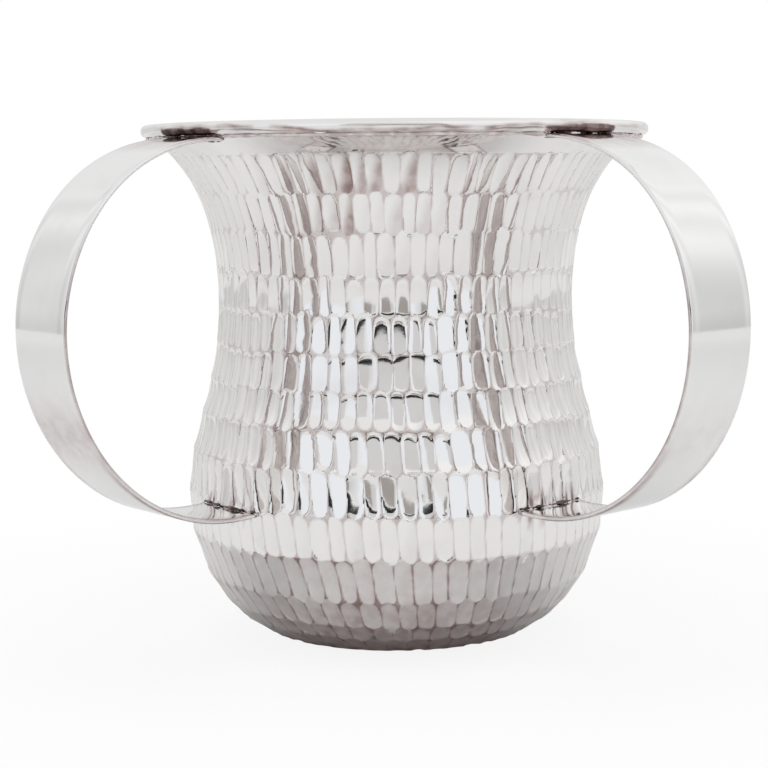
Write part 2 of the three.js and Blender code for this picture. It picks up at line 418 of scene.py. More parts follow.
# Tent: a drum with a lid; its level rises in steps with height, and two light boxes glow beside the camera
def makeTent():
    t = tent
    material, start, place = newMaterial("tent")
    x, y, z = place.split()
    side = start.math("ARCTAN2", x, y * -1.0).size()
    height = z * (1 / t["radius"])
    wall = t["lowLevel"] + (t["middleLevel"] - t["lowLevel"]) * height.step(*t["lowStep"])
    high = height.step(*t["middleStep"])
    right = t["rightMore"] * x.step(*t["rightStep"]) * (high * (1 - t["rightLow"]) + t["rightLow"])
    wall = wall + (t["level"] - t["middleLevel"]) * high + right
    wall = wall + (side * t["waves"]).sine() * side.between(t["waveFrom"], t["waveTo"]) * t["wave"]
    wall = wall.towards(t["level"], side.step(*t["backStep"]) * t["backShare"])
    seamHeight = x * t["seamRise"] + (x * t["seamWaves"]).sine() * t["seamSwing"] + t["seamHeight"]
    seam = (1 - (z - seamHeight).size().step(*t["seamStep"])) * side.step(*t["seamFrom"])
    wall = (wall + t["seamLevel"] * seam).towards(t["lidLevel"], height.step(*t["lidStep"]))
    plain = start.node("ShaderNodeCombineColor", None, {0: wall, 1: wall, 2: wall})
    box = side.between(t["boxFrom"], t["boxTo"]) * height.between(t["boxFoot"], t["boxTop"])
    boxColour = (*(c * t["boxLevel"] for c in t["boxTint"]), 1)
    finishMaterial(start, start.glow(start.mix(box, plain, boxColour), 1.0))
    around = roundAngles(t["sides"])[None, :]
    radii = np.array([t["radius"], t["radius"], t["peakRadius"]])[:, None]
    heights = np.array([0.0, t["radius"], t["radius"] * t["peak"]])[:, None]
    points, faces = sweptFaces(aroundAxis(radii, around, heights), False)
    # the two fans that close its ends come last, and it stays open there
    metalOnly(stagePiece("tent", points.tolist(), faces[:-2 * t["sides"]], material))


# A square lamp above, which metal does not see
def makeLamp():
    lampData = bpy.data.lights.new("overhead_lamp", "AREA")
    lampData.shape = "SQUARE"
    lampData.size = studio["lampSize"]
    lampData.energy = studio["lampPower"]
    lamp = newObject("overhead_lamp", lampData)
    lamp.location = (0, -studio["lampForward"], studio["lampHeight"])
    lamp.visible_glossy = False


makeWorld()
makeFloor()
makeTent()
makeLamp()
for cardName, card in cards.items():
    makeCard(cardName + "_card", card)
print("studio made")


# Finishes: silver that darkens towards brown and then to dark scale, by tarnish and by painted shade, and
# blotched solder

finish = dict(
    silver=(0.93, 0.918, 0.905),
    # brown of tarnish, also used for painted shade
    tarnishAndShade=(0.43, 0.33, 0.315),
    strap=(0.93, 0.926, 0.922),
    solder=(0.84, 0.79, 0.77), paleTarnish=(0.66, 0.57, 0.55),
    oxide=(0.19, 0.165, 0.16),
    brownOxide=(0.34, 0.27, 0.26), brownScale=(0.13, 0.095, 0.09),
    # dark scale, also used for painted shadow past a level of 1
    scale=(0.075, 0.055, 0.05),
)

# Roughness, and the share of the faint wide stains, by piece
silvers = dict(
    bowl=dict(bright="silver", roughness=0.04, stainShare=0.15),
    wire=dict(bright="silver", roughness=0.06, stainShare=0.2),
    strap=dict(bright="strap", roughness=0.05, stainShare=0.08),
)

# cloud, patch, fine and blotch are noises, each with its scale and detail
sheen = dict(
    cloud=(60.0, 4.0), cloudStep=(0.52, 0.75), cloudRough=0.03,  # faint wide stains
    patch=(330.0, 3.0), patchStep=(0.35, 0.65), patchLeast=0.8, patchMore=0.4,  # uneven tarnish and painted shade
    fine=(900.0, 3.0), fineRough=0.02, fineBump=0.02,
    scaleAndShadowRough=0.4,
)

blotches = dict(
    blotch=(420.0, 3.0), step=(0.35, 0.65),
    fine=(2200.0, 2.0), fineShare=0.5, bump=0.35,
    metalLess=0.3, rough=0.30, darkRough=0.25,
)
bumpDistance = 0.0002


# Metal with a bump
def metalShader(start, colour, metallic, rough, bump, height):
    relief = {"Strength": bump, "Distance": bumpDistance, "Height": height}
    normal = start.node("ShaderNodeBump", None, relief)
    inputs = {"Base Color": colour, "Metallic": metallic, "Roughness": rough, "Normal": normal}
    return start.node("ShaderNodeBsdfPrincipled", None, inputs)


# The mesh attribute goes from 0 to 1 towards the tarnish brown, and on to 2 towards the scale colour; it
# carries both tarnish and painted shade
def silverMaterial(name, bright, roughness, stainShare):
    material, start, place = newMaterial(name)
    cloud = place.noise(*sheen["cloud"])
    fine = place.noise(*sheen["fine"])
    patchy = place.noise(*sheen["patch"]).step(*sheen["patchStep"])
    tarnishedAndShaded = start.node("ShaderNodeAttribute", {"attribute_name": "tarnishAndShade"}, None, "Fac")
    stain = cloud.step(*sheen["cloudStep"]) * stainShare
    # the attribute brings in painted shade as well as tarnish
    stain = stain + tarnishedAndShaded * (sheen["patchLeast"] + patchy * sheen["patchMore"])
    dull = start.mix(stain.clamped(), (*finish[bright], 1), (*finish["tarnishAndShade"], 1))
    scaleAndShadow = (stain - 1).clamped()
    colour = start.mix(scaleAndShadow, dull, (*finish["scale"], 1))
    rough = roughness + fine * sheen["fineRough"] + cloud * sheen["cloudRough"]
    rough = rough + scaleAndShadow * sheen["scaleAndShadowRough"]
    finishMaterial(start, metalShader(start, colour, 1.0, rough, sheen["fineBump"], fine))
    return material


# Solder: uneven metal between a paler and a darker colour
def solderMaterial(name, pale, dark):
    material, start, place = newMaterial(name)
    blotch = place.noise(*blotches["blotch"])
    fine = place.noise(*blotches["fine"])
    darker = blotch.step(*blotches["step"])
    colour = start.mix(darker, (*finish[pale], 1), (*finish[dark], 1))
    metallic = 1 - darker * blotches["metalLess"]
    rough = blotches["rough"] + darker * blotches["darkRough"]
    height = blotch + fine * blotches["fineShare"]
    finishMaterial(start, metalShader(start, colour, metallic, rough, blotches["bump"], height))
    return material


bowlSilver, wireSilver, strapSilver = (
    silverMaterial(name + "_silver", **look) for name, look in silvers.items()
)
upperSolder = solderMaterial("upper_solder", "brownOxide", "brownScale")
lowerSolder = solderMaterial("lower_solder", "oxide", "scale")
rimSolder = solderMaterial("rim_solder", "solder", "paleTarnish")
print("finishes made")


# Bowl: the profile is three Bezier curves from the flat base by the belly and the waist to the lip

bowl = dict(
    wall=1.0,
    baseRadius=24.0, baseRun=15.0,
    bellyRadius=52.3, bellyHeight=35.8, bellyDrop=20.2, bellyRise=17.6,
    waistRadius=44.2, waistHeight=84.5, waistDrop=21.4, waistRise=19.7,
    lipRadius=60.7, lipHeight=124.2, lipRun=11.7, lipSlope=28.0,
    profileSteps=200,
    columns=510,
    frontCrowding=0.35,  # share by which columns crowd towards the camera's side
    # rings over one row of marks, as shares of its height; a row up to shortRow has every other one
    ringShares=(0, 0.03, 0.06, 0.095, 0.15, 0.29, 0.5, 0.71, 0.85, 0.905, 0.94, 0.97), shortRow=7,
    plainRings=(0, 0.35, 0.8, 1.8), lipRings=(0.9, 0),  # above the top row, and down from the lip
    rowBlend=0.9,  # half the height over which the columns pass from one row's creases to the next
    lipFade=1.0,  # the marks' depth fades out this near the lip
    slopeStep=0.02,  # small step by which the slope of the marks is measured
    baseRings=(2.0, 6, 12, 18, 22.6), insideFrom=1.9, insideRings=16, floorRings=(18.0, 10, 3),
)

# The lists go by row from the top down. Boundaries are the heights between rows, dishes the depths of the
# marks' middles, and straight shares how much of the bulge in the bowl's profile a row takes off.
marks = dict(
    boundaries=(120, 111, 101.9, 92, 83.1, 74.3, 65.6, 57.1, 47.9, 37.3, 27.3, 16.7, 10.1, 6.1, 2.2),
    counts=(88, 84, 80, 76, 74, 74, 76, 78, 80, 78, 72, 65, 55, 46),
    leans=(2, 1, 0, 0, 1, 2, 3, 7, 6, 7, 8, 8, 8, 8),  # degrees, bottoms towards +X at the front
    leanShare=0.55, leanSwing=0.45, leanTurn=0.2,  # the share of it that shows, by azimuth
    dishes=(0.05, 0.05, 0.05, 0.04, 0.06, 0.22, 0.40, 0.42, 0.12, 0.04, 0.04, 0.03, 0.03, 0.03),
    rimSlopes=(0.11, 0.10, 0.09, 0.10, 0.12, 0.12, 0.12, 0.09, 0.14, 0.10, 0.12, 0.12, 0.10, 0.08),
    stains=(1.7, 1.1, 0.4, 0.1, 0, 0, 0, 0, 0, 0.25, 0.3, 0.3, 0, 0),  # brown blotches on some marks
    straightShares=(0.3, 0.3, 0.3, 0.3, 0.9, 0.5, 0.5, 0.8, 1.0, 1.0, 1.1, 1.1, 1.0, 1.0),
    tilts=(0, 0, 0, 1.7, 2.2, 0.7, 0.2, 0, -1.0, 0, 0, 0, 0, 0),  # degrees, upwards
    rimWidth=0.45,  # how far into the mark its rim reaches
    # share of the bowl's roundness that a mark takes off across its width
    flats=(1.4,) * 10 + (1.3, 0.9, 0.6, 0.4), flatEnds=4,
    footRow=10,  # the first row of the foot, which is painted darker for the reflected shadow of the floor
    taper=0.16,  # how much narrower a mark is towards its ends
    egg=0.05, wobble=0.07, wobbleLength=5.0,  # usual uneven width and side swing of a mark
    creaseJitter=0.12, heightJitter=0.26, lengthJitter=0.05, strengthJitter=0.12,
    drift=0.25, driftWaves=(2, 9), driftSeed=77,  # slow rise and fall of a row
    fill=1.03,  # share of its pitch that a mark takes
    overlaps=(0.45,) * 9 + (0.8, 0.9, 0.9, 0.8, 0.8), farthest=2.5,  # of a mark's ends past its row
    tilt=0.020,  # usual slope of one mark against the next
    ridge=0.008,  # rounding of the ridges
    bow=0.16, bowMiddle=0.4,  # usual sideways bend of a mark
    crowding=0.6,  # share by which columns crowd at the creases
    leastRadius=5,
    seed=11,
)

# Levels of tarnish and of painted shade on the bowl
tarnishAndShade = dict(
    web=0.27, webFoot=1.15,  # darker on the webs between the marks above the foot, and painted shade on them on the foot
    webReach=0.26,  # how far down their sides
    webFront=0.26, webFrontSpan=0.75, webFrontPower=4,  # painted reflected shade: how much stronger round the front
    footHeights=(2, 9, 20), foot=(0.60, 0.50, 0.24),  # painted shade on the foot's marks, at these heights: the floor's shadow under the belly as the marks reflect it
    footTopMore=0.35,  # how much more painted shade in their tops
    footSides=0.7, sides=(0.6, 1.1),  # how much less of it round the sides and back
    edge=0.9, edgeHeight=4.0,  # painted contact shadow on the turn of the base
    plain=0.30, plainSpan=0.52, plainPower=6, plainFrom=0.3,  # painted shade on the plain band under the rim, round the front
    stainAt=-0.05, stainSpread=0.38,  # where the upper rows' blotches lie, in radians
    stainShare=0.5, stainAcross=0.9, stainAlong=-0.8,  # and on which side and end of a mark
)

# Smears of scale over the lower joints
smears = dict(
    level=1.5, above=0.6, full=1.25,
    reach=0.9, reachSwing=2.6, reachLimits=(0.3, 4), reachWaves=(60, 190), reachSeed=77,
    halfWidth=11.0, soft=1.5,
    share=0.45, swing=0.8, waves=(40, 150), seed=78,
)


# Level at the base, upright at the belly and the waist, and at the lip's own slope there
def bowlProfile():
    b = bowl
    slope = math.radians(b["lipSlope"])
    base = (b["baseRadius"], 0)
    belly = (b["bellyRadius"], b["bellyHeight"])
    waist = (b["waistRadius"], b["waistHeight"])
    lip = (b["lipRadius"], b["lipHeight"])
    beforeLip = (lip[0] - b["lipRun"] * math.cos(slope), lip[1] - b["lipRun"] * math.sin(slope))
    curves = [
        [base, (base[0] + b["baseRun"], 0), (belly[0], belly[1] - b["bellyDrop"]), belly],
        [belly, (belly[0], belly[1] + b["bellyRise"]), (waist[0], waist[1] - b["waistDrop"]), waist],
        [waist, (waist[0], waist[1] + b["waistRise"]), beforeLip, lip],
    ]
    t = np.linspace(0, 1, b["profileSteps"])
    parts = [bezier(controls, t) for controls in curves]
    return np.vstack([parts[0], parts[1][1:], parts[2][1:]])


profile = bowlProfile()
profileLength = lengthAlong(profile)
profileTangent = directions(profile, profileLength)


# Radius and height of the outer skin, and its outward direction, at a length from the base's edge
def skinAt(s):
    r = np.interp(s, profileLength, profile[:, 0])
    z = np.interp(s, profileLength, profile[:, 1])
    outR = np.interp(s, profileLength, profileTangent[:, 1])
    outZ = -np.interp(s, profileLength, profileTangent[:, 0])
    return r, z, outR, outZ


# Both are straight between the points of the profile
def radiusAtHeight(height):
    return np.interp(height, profile[:, 1], profile[:, 0])


def lengthAtHeight(height):
    return np.interp(height, profile[:, 1], profileLength)


# One row of marks: creases around, and each mark's own middle, half length, depth and tilt
def markRow(k):
    rng = np.random.default_rng(marks["seed"] + k)
    count = marks["counts"][k]
    top, bottom = (lengthAtHeight(marks["boundaries"][k + j]) for j in (0, 1))
    pitch = turn / count
    jitter = marks["creaseJitter"]
    creases = (np.arange(count) + rng.uniform(-jitter, jitter, count) + rng.uniform(0, 1)) * pitch
    drift = wander(np.arange(count) * pitch, marks["driftSeed"] + k, marks["driftWaves"]) * marks["drift"]
    middle = (top + bottom) / 2 + rng.normal(0, marks["heightJitter"], count) + drift
    half = (top - bottom) / 2 * (1 + rng.normal(0, marks["lengthJitter"], count)) + marks["overlaps"][k]
    return dict(
        creases=creases, pitch=np.diff(np.append(creases, creases[0] + turn)),
        middle=middle, half=half, span=(bottom, top),
        dish=marks["dishes"][k], rimSlope=marks["rimSlopes"][k],
        strength=1 + rng.normal(0, marks["strengthJitter"], count),
        bow=rng.normal(0, marks["bow"], count),
        egg=rng.normal(0, marks["egg"], count),
        wobble=rng.normal(0, marks["wobble"], count),
        phase=rng.uniform(0, turn, count),
        sideTilt=rng.normal(0, marks["tilt"], count),
        endTilt=rng.normal(0, marks["tilt"], count) + math.tan(math.radians(marks["tilts"][k])),
        stain=marks["stains"][k] * rng.uniform(0, 1, count) ** 2,
        lean=math.tan(math.radians(marks["leans"][k])),
        flat=marks["flats"][k],
        foot=float(k >= marks["footRow"]),
    )


markRows = [markRow(k) for k in range(len(marks["counts"]))]
marksTop = markRows[0]["span"][1]


# Azimuth from -Y as a mark coordinate: whole numbers at the row's creases
def markCoordinate(row, azimuth):
    creases = row["creases"]
    count = len(creases)
    wrapped = np.concatenate([creases - turn, creases, creases + turn, creases[:1] + 2 * turn])
    steps = np.arange(-count, 2 * count + 1)
    return np.interp(azimuth, wrapped, steps), wrapped, steps


# The row leans by tan(lean) times the height over its middle, more at the left of the front than the right
def leanShift(row, azimuth, s, radius):
    middle = (row["span"][0] + row["span"][1]) / 2
    share = marks["leanShare"] - marks["leanSwing"] * np.sin(azimuth - marks["leanTurn"])
    return -row["lean"] * share * (s - middle) / np.maximum(radius, marks["leastRadius"])


# A row's own band of skin: its share of the profile's bulge over the chord from edge to edge is taken off
def bandDepth(s):
    depth = np.zeros(s.shape)
    for k, row in enumerate(markRows):
        low, high = row["span"]
        inside = (s > low) & (s < high)
        here = s[inside]
        edges = np.stack([np.interp([low, high], profileLength, profile[:, j]) for j in (0, 1)], -1)
        chord = unitLength(edges[1] - edges[0])
        r = np.interp(here, profileLength, profile[:, 0]) - edges[0, 0]
        z = np.interp(here, profileLength, profile[:, 1]) - edges[0, 1]
        depth[inside] = marks["straightShares"][k] * (r * chord[1] - z * chord[0])
    return depth


# A mark is a capsule of some half width and half length, narrowed towards its ends. With inwards the
# distance in from its outline and w the width of its rim, depth = slope w (1 - exp(-inwards / w))
# + dish (1 - (y / half length)^2) + flat (half width^2 - x^2) / (2 r) + tilts; marks join by their maximum,
# rounded against 0 as (d + sqrt(d^2 + ridge^2)) / 2. The other results are inwards itself, x / half width,
# y / half length, the mark's own stain and 1 on the foot's rows, all of the mark furthest in.
def hammered(azimuth, s, radius):
    azimuth, s, radius = np.broadcast_arrays(azimuth, s, radius)
    deepest = np.full(azimuth.shape, -1.0)
    furthest = np.full(azimuth.shape, -1.0)
    local = np.zeros((4, *azimuth.shape))
    reach = marks["rimWidth"]
    for row in markRows:
        low, high = row["span"]
        near = (s > low - marks["farthest"]) & (s < high + marks["farthest"])
        here, r = s[near], radius[near]
        coordinate, _, _ = markCoordinate(row, azimuth[near] - leanShift(row, azimuth[near], here, r))
        nearest = np.floor(coordinate)
        for step in (-1, 0, 1):
            whole = nearest + step
            i = whole.astype(int) % len(row["creases"])
            width = row["pitch"][i] * r
            halfWidth = width / 2 * marks["fill"]
            halfLength = row["half"][i]
            y = here - row["middle"][i]
            along = y / halfLength
            x = (coordinate - whole - 0.5) * width + row["bow"][i] * (along ** 2 - marks["bowMiddle"])
            x = x + row["wobble"][i] * np.sin(turn * y / marks["wobbleLength"] + row["phase"][i])
            narrowed = x * (1 + marks["taper"] * along ** 2 + row["egg"][i] * np.clip(along, -1, 1))
            pastStraight = np.maximum(np.abs(y) - (halfLength - halfWidth), 0)
            inwards = halfWidth - np.hypot(narrowed, pastStraight)
            inside = 1 - np.exp(-np.maximum(inwards, 0) / reach)
            rim = row["rimSlope"] * (reach * inside + np.minimum(inwards, 0))
            ends = clip01(1 - along ** 2)
            bulge = np.clip(halfWidth ** 2 - x ** 2, 0, None)
            sag = row["flat"] * bulge / (2 * np.maximum(r, halfWidth))
            dish = row["dish"] * ends + sag * clip01(ends * marks["flatEnds"])
            side, end = row["sideTilt"][i], row["endTilt"][i]
            tilted = side * x + np.abs(side) * halfWidth + end * y + np.abs(end) * halfLength
            depth = row["strength"][i] * (rim + dish) + tilted * inside
            deepest[near] = np.maximum(deepest[near], depth)
            wins = inwards > furthest[near]
            for place, value in zip(local, (x / halfWidth, along, row["stain"][i], row["foot"])):
                place[near] = np.where(wins, value, place[near])
            furthest[near] = np.maximum(furthest[near], inwards)
    return (deepest + np.sqrt(deepest ** 2 + marks["ridge"] ** 2)) / 2 + bandDepth(s), furthest, *local


# Lengths of the outer rings, from the base's edge up: they crowd at the row boundaries
def bowlRings():
    shares = np.array(bowl["ringShares"])
    rings = []
    for row in reversed(markRows):
        low, high = row["span"]
        rings.append(low + (high - low) * (shares if high - low > bowl["shortRow"] else shares[::2]))
    rings.append(marksTop + np.array(bowl["plainRings"]))
    rings.append(profileLength[-1] - np.array(bowl["lipRings"]))
    return np.concatenate(rings)


# Azimuths of the outer rings: even columns, drawn towards each row's creases by t - c sin(2 pi t) / (2 pi)
def bowlAzimuths(even, s, r):
    azimuth = np.zeros((len(s), len(even)))
    weights = np.zeros((len(s), 1))
    for row in markRows:
        low, high = row["span"]
        middle, half = (low + high) / 2, (high - low) / 2
        blend = bowl["rowBlend"]
        weight = clip01((half + blend - np.abs(s - middle)) / (2 * blend))[:, None]
        shift = leanShift(row, even[None, :], s[:, None], r[:, None])
        coordinate, wrapped, steps = markCoordinate(row, even[None, :] - shift)
        crowded = coordinate - marks["crowding"] * np.sin(turn * coordinate) / turn
        azimuth += weight * (np.interp(crowded, steps, wrapped) + shift)
        weights += weight
    return (azimuth + clip01(1 - weights) * even) / np.maximum(weights, 1)


# The slope of the marks' depth over a small step along or across
def depthSlope(azimuth, s, r, aside, along):
    ahead = hammered(azimuth + aside, s + along, r)[0]
    behind = hammered(azimuth - aside, s - along, r)[0]
    return (ahead - behind) / (2 * bowl["slopeStep"])


# Outward directions: out + (slope along) (tangent along) + (slope across) (tangent across)
def bowlNormals(azimuth, s, r, outR, outZ, fade):
    slopeAlong = depthSlope(azimuth, s, r, 0, bowl["slopeStep"]) * fade
    slopeAcross = depthSlope(azimuth, s, r, bowl["slopeStep"] / r, 0) * fade
    normal = aroundAxis(outR - slopeAlong * outZ, azimuth, outZ + slopeAlong * outR)
    return unitLength(normal + aroundAxis(-slopeAcross, azimuth - math.pi / 2, 0))


# Radii and heights of the rings past the lip's edge: the lip, the inner wall and the inside of the floor
def insideRings():
    wall = bowl["wall"]
    lipInside = bowl["lipRadius"] - wall / math.sin(math.radians(bowl["lipSlope"]))
    r, z, outR, outZ = skinAt(np.linspace(profileLength[-1] - bowl["insideFrom"], 0, bowl["insideRings"]))
    floor = bowl["floorRings"]
    radii = np.concatenate([[lipInside], r - outR * wall, floor])
    heights = np.concatenate([[bowl["lipHeight"]], z - outZ * wall, np.full(len(floor), wall)])
    return radii[:, None], heights[:, None]


# Smears: full at the joint's height and gone at a wandering reach from it, broken up by a second wander
def jointSmears(azimuth, r, z):
    m = smears
    reach = m["reach"] + m["reachSwing"] * wander(azimuth, m["reachSeed"], m["reachWaves"])
    reach = np.clip(reach, *m["reachLimits"])
    clots = clip01(m["share"] + m["swing"] * wander(azimuth, m["seed"], m["waves"]))
    total = np.zeros(azimuth.shape)
    for handle in handles.values():
        above = z - lowerJointHeight(handle) - m["above"]
        aside = angleFrom(handleAzimuth(handle), azimuth) * r
        level = clip01(m["full"] - np.abs(above) / reach)
        level = level * clip01((m["halfWidth"] - np.abs(aside)) / m["soft"])
        total = np.maximum(total, m["level"] * level * clots)
    return total


# Tarnish and painted shade: the webs between marks are darker, with painted shade on them round the front
# and on the foot; painted shade lies on the foot's marks, on the turn of the base and on the plain band
# under the rim; stains lie in blotches, and scale in smears at the lower joints
def bowlTarnishAndShade(azimuth, s, r, z, inwards, across, along, stain, foot):
    t = tarnishAndShade
    fromFront = angleFrom(0, azimuth)
    foot = np.where(z < bowl["bellyHeight"], foot, 0)
    foot = foot * (1 - t["footSides"] * ramp(np.abs(fromFront), *t["sides"]))
    web = clip01(1 - inwards / t["webReach"]) * (s < marksTop)
    onWeb = t["web"] + t["webFront"] * hump(fromFront, t["webFrontSpan"], t["webFrontPower"])
    onWeb = onWeb + (t["webFoot"] - onWeb) * foot
    onPlain = t["plain"] * hump(fromFront, t["plainSpan"], t["plainPower"])
    onMark = (s > marksTop + t["plainFrom"]) * onPlain
    onMark = onMark + t["edge"] * clip01(1 - z / t["edgeHeight"])
    onMark = onMark + foot * np.interp(z, t["footHeights"], t["foot"]) * (1 + t["footTopMore"] * along)
    blotch = clip01(t["stainShare"] + t["stainAcross"] * across + t["stainAlong"] * along)
    onMark = onMark + stain * blotch * hump(angleFrom(t["stainAt"], azimuth), t["stainSpread"])
    onMark = onMark + jointSmears(azimuth, r, z)
    return web * onWeb + (1 - web) * onMark


# point = skin - depth out; the rings go up the outside, over the lip and down the inside
def makeBowl():
    columns = bowl["columns"]
    u = np.arange(columns) / columns
    even = turn * u - bowl["frontCrowding"] * np.sin(turn * u)
    s = bowlRings()[:, None]
    r, z, outR, outZ = skinAt(s)
    azimuth = bowlAzimuths(even, s[:, 0], r[:, 0])
    fade = clip01((profileLength[-1] - s) / bowl["lipFade"])
    depth, *onMarks = hammered(azimuth, s, r)
    depth = depth * fade
    outer = aroundAxis(r - outR * depth, azimuth, z - outZ * depth)
    base = aroundAxis(np.array(bowl["baseRings"])[:, None], even[None, :], 0.0)
    radii, heights = insideRings()
    rings = np.concatenate([base, outer, aroundAxis(radii, even[None, :], heights)]) * mm
    outside = slice(len(base), len(base) + len(s))
    dull = np.zeros(rings.shape[:2])
    # the flat base under the cup takes the foot's painted shade
    dull[:len(base)] = tarnishAndShade["foot"][0]
    dull[outside] = bowlTarnishAndShade(azimuth, s, r, z, *onMarks)
    points, faces = sweptFaces(rings, False)
    piece = meshPiece("hammered_bowl", points, faces, bowlSilver, ["bowl"], dull)
    normals = np.zeros((len(points), 3), np.float32)
    piece.data.vertices.foreach_get("normal", normals.reshape(-1))
    onRings = normals[:-2].reshape(rings.shape)
    onRings[outside] = bowlNormals(azimuth, s, r, outR, outZ, fade)
    piece.data.normals_split_custom_set_from_vertices(normals.tolist())
    print("bowl made,", len(faces), "faces")


# Rim wire: an oval section carried round the lip, with painted shade on its underside and a painted shadow
# over each handle's end, where the slot between wire and strap lies

rim = dict(
    overhang=2.0, height=3.0, depth=2.8, seatGap=0.3, steps=720, sectionSteps=32,
    waver=0.05, waverWaves=(20, 70),  # how far hammering moved its lower edge
    # painted shade underneath, at these sines of the section's angle, and higher up beside the front
    underside=1.15, undersideStops=(-1.3, -0.85, -0.55, -0.10), undersideLevels=(0.3, 0.45, 1, 0),
    undersideRaise=0.8, raiseSpan=(0.25, 0.60),
    uneven=0.12, unevenWaves=(9, 60),  # how its upper edge wanders
    patchShare=0.7, patchSwing=0.3, patchLimits=(0.2, 1.2), patchWaves=(12, 90),
    frontSpan=0.70, frontPower=4, awayShare=0.3,  # its reach round the front, and its share elsewhere
    # the painted shadow over a handle's end, from the slot between wire and strap, with its soft ends and
    # top
    slotShadowHalfWidth=10.5, slotShadowUneven=0.3, slotShadowWaves=(30, 90), slotShadowSoft=0.6,
    slotShadowTop=0.12, slotShadowTopSoft=0.15,
    seed=5,
)


# point = centre + (cos(section) half depth, sin(section) half height), less the waver below
def makeRim():
    outer = bowl["lipRadius"] + rim["overhang"]
    around = roundAngles(rim["steps"])[:, None]
    section = roundAngles(rim["sectionSteps"])[None, :]
    kinds = ("waverWaves", "unevenWaves", "patchWaves", "slotShadowWaves")
    waver, uneven, patchy, slotShadowUneven = (wander(around, rim["seed"] + k, rim[kinds[k]]) for k in range(4))
    centre = outer - rim["depth"] / 2
    height = bowl["lipHeight"] + rim["seatGap"] + rim["height"] / 2
    lowered = clip01(-np.sin(section)) * rim["waver"] * waver
    radius = centre + np.cos(section) * (rim["depth"] / 2 - lowered)
    z = height + np.sin(section) * (rim["height"] / 2 - lowered)
    rings = aroundAxis(radius, around, z) * mm
    rise = np.sin(section) + rim["uneven"] * uneven
    fromFront = np.abs(angleFrom(0, around))
    raised = rim["undersideRaise"] * ramp(fromFront, *rim["raiseSpan"])
    # painted shade on the wire's underside, strongest round the front
    dull = rim["underside"] * np.interp(rise - raised, rim["undersideStops"], rim["undersideLevels"])
    dull = dull * np.clip(rim["patchShare"] + rim["patchSwing"] * patchy, *rim["patchLimits"])
    front = hump(fromFront, rim["frontSpan"], rim["frontPower"])
    dull = dull * (rim["awayShare"] + (1 - rim["awayShare"]) * front)
    # painted shadow of the slot between the wire and each strap's end, dark up to the scale colour
    top = clip01((rim["slotShadowTop"] - rise) / rim["slotShadowTopSoft"])
    for handle in handles.values():
        nearer = handle["slotShadowNearer"] / 2
        aside = np.abs(angleFrom(handleAzimuth(handle), around) * outer + nearer)
        inside = rim["slotShadowHalfWidth"] + nearer + rim["slotShadowUneven"] * slotShadowUneven - aside
        dull = np.maximum(dull, handle["slotShadowOver"] * clip01(inside / rim["slotShadowSoft"]) * top)
    points, faces = sweptFaces(rings, True)
    meshPiece("rim_ring", points, faces, wireSilver, ["rim_wire"], dull)


# Handles: a flat section with softened edges, carried along a C of Bezier curves and coped to the bowl

straps = dict(
    width=21.8, thickness=1.05, edge=0.48, seatGap=0.3,
    spread=95.6,  # degrees from one handle to the other
    reachHeight=81.0, upperRun=31.0, upperRise=18.1, lowerDrop=23.8, lowerRun=25.1,
    upperEndDepth=3.2, lowestRunOut=5.5, lowerEndDepth=2.3, lowerEndRise=0.5,
    startInside=4, startSteps=20,  # the path starts inside the bowl's wall, to be coped
    steps=180, crowding=0.12, pathSteps=400, endStride=4, cornerSteps=5, flatSteps=9,
)

# Painted shade and reflection on the straps, at shares of the strap's length from the rim down
strapShading = dict(
    inside=0.55, insideStops=(0.20, 0.36, 0.66, 0.80), insideLevels=(0.12, 1, 1, 0.08),  # painted shade on the inner face, towards the bowl
    side=0.50, sideStops=(0.26, 0.42, 0.66, 0.80), sideLevels=(0.05, 1.5, 1.3, 0.25),  # painted reflection on the narrow sides
    sideDepth=0.2,
    corner=1.0, cornerStops=(0.60, 0.80), cornerSlack=0.01,  # and painted reflection on their corners
    outerShare=0.3,  # what counts as the outer face, as a share of the thickness
    bendAt=0.64, bendSpan=0.06,  # a patch of painted shade on it, the floor's shadow as it reflects it
    end=1.0, endFull=1.3, endReach=13.0,  # painted shade under the rim, and how far out
)

# In each handle, the last three numbers are the strength of the painted shade on the strap's bend, where
# the floor's shadow is reflected, and the strength of the painted shadow on the rim over the strap's end,
# from the slot between wire and strap, with how much further it goes to the front.
handles = dict(
    left=dict(
        side=-1, reach=100.8, endDrop=0.0, upperDrop=0.0, lowestAboveBelly=-0.3,
        bendShade=0.42, slotShadowOver=1.8, slotShadowNearer=0.0,
    ),
    right=dict(
        side=1, reach=99.5, endDrop=-0.3, upperDrop=0.8, lowestAboveBelly=0.6,
        bendShade=0.15, slotShadowOver=1.45, slotShadowNearer=2.8,
    ),
)


def handleAzimuth(handle):
    return handle["side"] * math.radians(straps["spread"]) / 2


def lowestHeight(handle):
    return bowl["bellyHeight"] + handle["lowestAboveBelly"]


def lowerJointHeight(handle):
    return lowestHeight(handle) + straps["lowerEndRise"] + straps["thickness"] / 2


# Points (out, across, up) of a handle that comes straight forward, turned to its own azimuth, in metres
def atHandle(handle, points):
    outX, outY = math.sin(handleAzimuth(handle)), -math.cos(handleAzimuth(handle))
    x = points[..., 0] * outX - points[..., 1] * outY
    y = points[..., 0] * outY + points[..., 1] * outX
    return np.stack([x, y, points[..., 2]], -1) * mm


